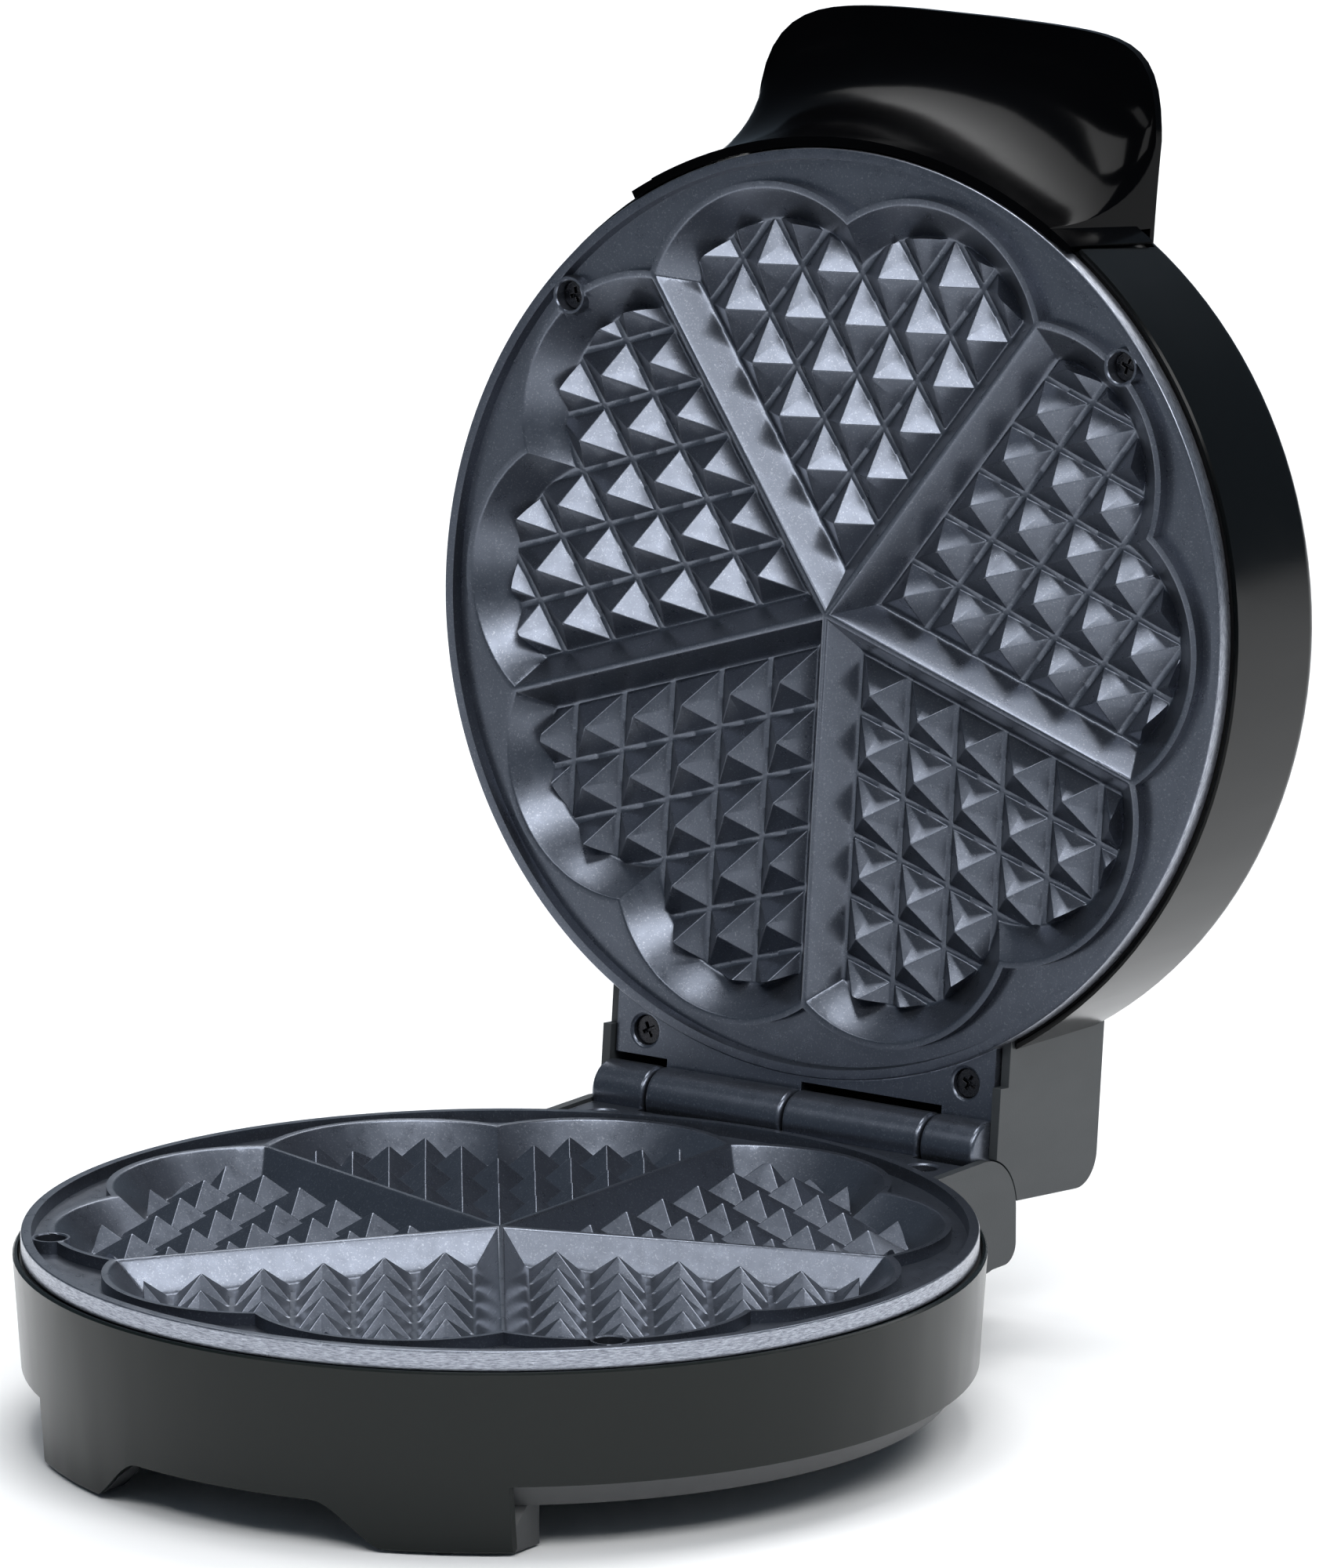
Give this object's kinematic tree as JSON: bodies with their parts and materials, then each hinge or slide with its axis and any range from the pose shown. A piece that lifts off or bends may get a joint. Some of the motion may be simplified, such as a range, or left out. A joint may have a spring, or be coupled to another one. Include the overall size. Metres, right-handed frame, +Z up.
{
  "type": "waffle maker",
  "caption": "Round electric waffle maker with hinged lid, heart-shaped baking plates, scoop handle, rear hinge covers and arched feet.",
  "frame": {"origin": "on the surface it stands on, under the middle of the whole outline with the lid open", "axes": "-Y is the front (handle side when closed), +X is right as seen from the front, +Z is up; the rest pose has the lid open on its stop"},
  "size_m": [0.1896, 0.2622, 0.2558],
  "materials": {
    "base_shell": "dark lacquer over fine brushed sheet, satin to gloss",
    "lid_shell": "dark gloss lacquer over sheet metal",
    "baking_plate": "die-cast, dark slate non-stick coating with fine metallic speckle",
    "chassis": "heat-resistant moulding, satin",
    "lid_frame": "heat-resistant moulding, satin",
    "hinge_cover": "satin moulding, fine spark texture",
    "handle": "polished black moulding",
    "heater_tube": "oxidised steel tube",
    "reflector": "bright pressed sheet",
    "black_screw": "black oxide, cross recess",
    "plain_screw": "zinc plated",
    "thermostat": "bimetal disc in a drawn cap",
    "terminal_block": "glazed ceramic",
    "lead": "silicone-coated glass braid",
    "cord_gland": "moulded rubber",
    "foot_pad": "soft rubber",
    "hinge_pin": "ground steel rod",
    "fuse": "glass-fibre sleeve",
    "lamp_holder": "natural nylon",
    "neon_lamp": "clear bulb",
    "red_lens": "tinted translucent",
    "green_lens": "tinted translucent"
  },
  "bodies": {
    "base": {"base_shell": "base_shell", "base_chassis": "chassis", "base_feet": "chassis", "base_hinge_cover": "hinge_cover", "lower_plate": "baking_plate", "lower_heating_element": "heater_tube", "lower_reflector": "reflector", "lower_reflector_screws": "plain_screw", "lower_plate_screws": "black_screw", "thermostat": "thermostat", "terminal_block": "terminal_block", "base_wiring": "lead", "cord_gland": "cord_gland", "foot_pads": "foot_pad", "base_cover_screws": "plain_screw", "hinge_pin": "hinge_pin"},
    "lid": {"lid_shell": "lid_shell", "lid_frame": "lid_frame", "lid_hinge_cover": "hinge_cover", "handle": "handle", "handle_screws": "plain_screw", "upper_plate": "baking_plate", "upper_heating_element": "heater_tube", "upper_reflector": "reflector", "upper_reflector_screws": "plain_screw", "upper_plate_screws": "black_screw", "thermal_fuse": "fuse", "lamp_holder": "lamp_holder", "neon_lamps": "neon_lamp", "power_lamp_lens": "red_lens", "ready_lamp_lens": "green_lens", "lid_wiring": "lead", "lid_cover_screws": "plain_screw"}
  },
  "joints": [
    {"name": "lid_hinge", "type": "hinge", "parent": "base", "child": "lid", "pos_m": [0, 0.06565, 0.0406], "axis": [1, 0, 0], "range_deg": [0, 95.4]}
  ]
}
